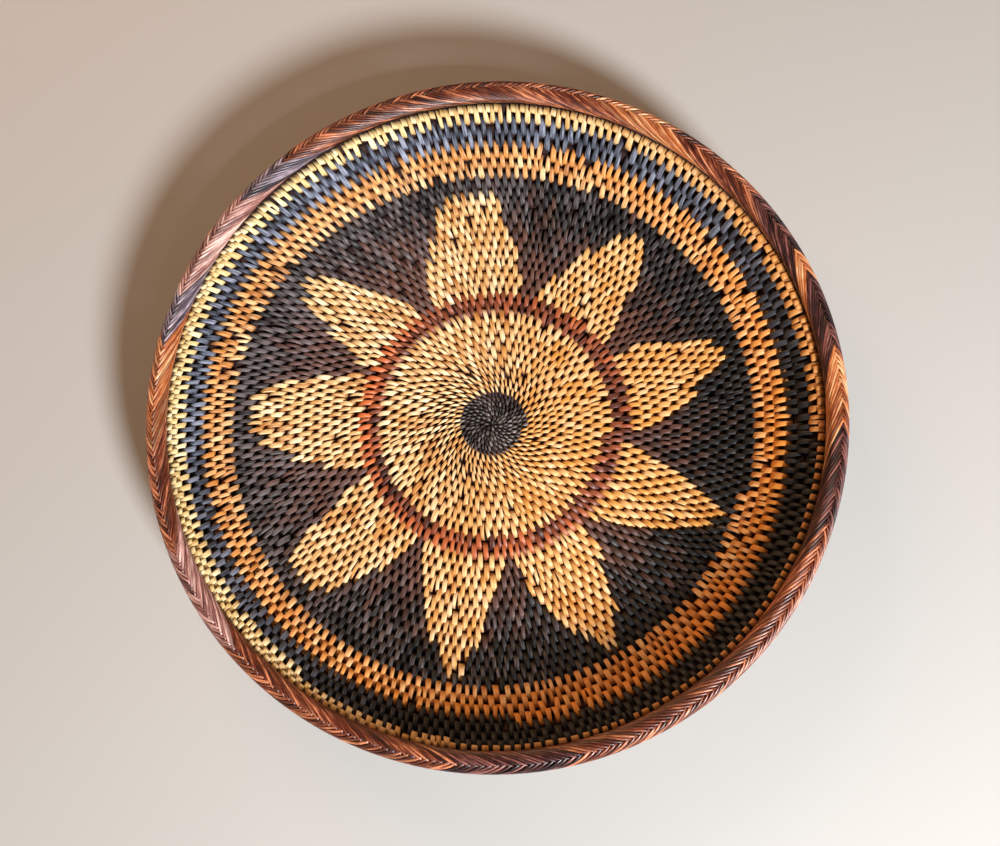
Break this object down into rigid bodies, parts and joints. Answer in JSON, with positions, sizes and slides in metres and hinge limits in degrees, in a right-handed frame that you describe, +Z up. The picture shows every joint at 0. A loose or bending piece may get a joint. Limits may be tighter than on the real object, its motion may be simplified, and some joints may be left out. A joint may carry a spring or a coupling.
{
  "type": "coiled basketry tray",
  "caption": "Shallow round coiled basket tray with a sewn star on its floor, banded sides and a herringbone lashed rim, for serving or display.",
  "frame": {"origin": "on the resting surface, under the centre of the tray", "axes": "+Z up, along the axis of the dish; +Y is towards the top of the reference view, +X to its right"},
  "size_m": [0.347, 0.347, 0.0531],
  "materials": {
    "natural_splint": "satin split fibre, natural cream to honey",
    "orange_splint": "satin split fibre, dyed orange-brown",
    "pale_splint": "satin split fibre, pale cream",
    "red_brown_splint": "satin split fibre, dyed red-brown",
    "dark_splint": "satin split fibre, dyed dark brown",
    "black_splint": "satin split fibre, dyed black",
    "charcoal_splint": "satin split fibre, dyed charcoal",
    "foundation_fibre": "rough bundle of dry fibre",
    "hoop_cane": "matt cane",
    "rim_red": "satin splint, red-brown",
    "rim_orange": "satin splint, orange-brown",
    "rim_dark": "satin splint, dark purple-brown",
    "rim_dusky": "satin splint, dusky pink-brown",
    "rim_slate": "satin splint, slate"
  },
  "bodies": {
    "root": {"start_knot": "charcoal_splint", "foundation_coil_centre": "foundation_fibre", "foundation_coil_floor": "foundation_fibre", "foundation_coil_wall": "foundation_fibre", "button_stitching": "charcoal_splint", "fine_row_stitching": "natural_splint", "inner_field_stitching": "natural_splint", "red_ring_stitching": "red_brown_splint", "star_petal_1": "natural_splint", "star_petal_2": "natural_splint", "star_petal_3": "natural_splint", "star_petal_4": "natural_splint", "star_petal_5": "natural_splint", "star_petal_6": "natural_splint", "star_petal_7": "natural_splint", "star_petal_8": "natural_splint", "star_petal_9": "natural_splint", "star_ground_1": "dark_splint", "star_ground_2": "dark_splint", "star_ground_3": "dark_splint", "star_ground_4": "dark_splint", "star_ground_5": "dark_splint", "star_ground_6": "dark_splint", "star_ground_7": "dark_splint", "star_ground_8": "dark_splint", "star_ground_9": "dark_splint", "star_ground_10": "dark_splint", "orange_band_stitching": "orange_splint", "black_band_stitching": "black_splint", "pale_edge_stitching": "pale_splint", "rim_hoop": "hoop_cane", "rim_lashing_01": "rim_red", "rim_lashing_02": "rim_orange", "rim_lashing_03": "rim_red", "rim_lashing_04": "rim_dark", "rim_lashing_05": "rim_orange", "rim_lashing_06": "rim_dark", "rim_lashing_07": "rim_orange", "rim_lashing_08": "rim_dark", "rim_lashing_09": "rim_red", "rim_lashing_10": "rim_red", "rim_lashing_11": "rim_dark", "rim_lashing_12": "rim_red", "rim_lashing_13": "rim_red", "rim_lashing_14": "rim_dusky", "rim_lashing_15": "rim_red", "rim_lashing_16": "rim_orange", "rim_lashing_17": "rim_slate", "rim_lashing_18": "rim_dusky", "rim_lashing_19": "rim_slate", "rim_lashing_20": "rim_red"}
  },
  "joints": []
}
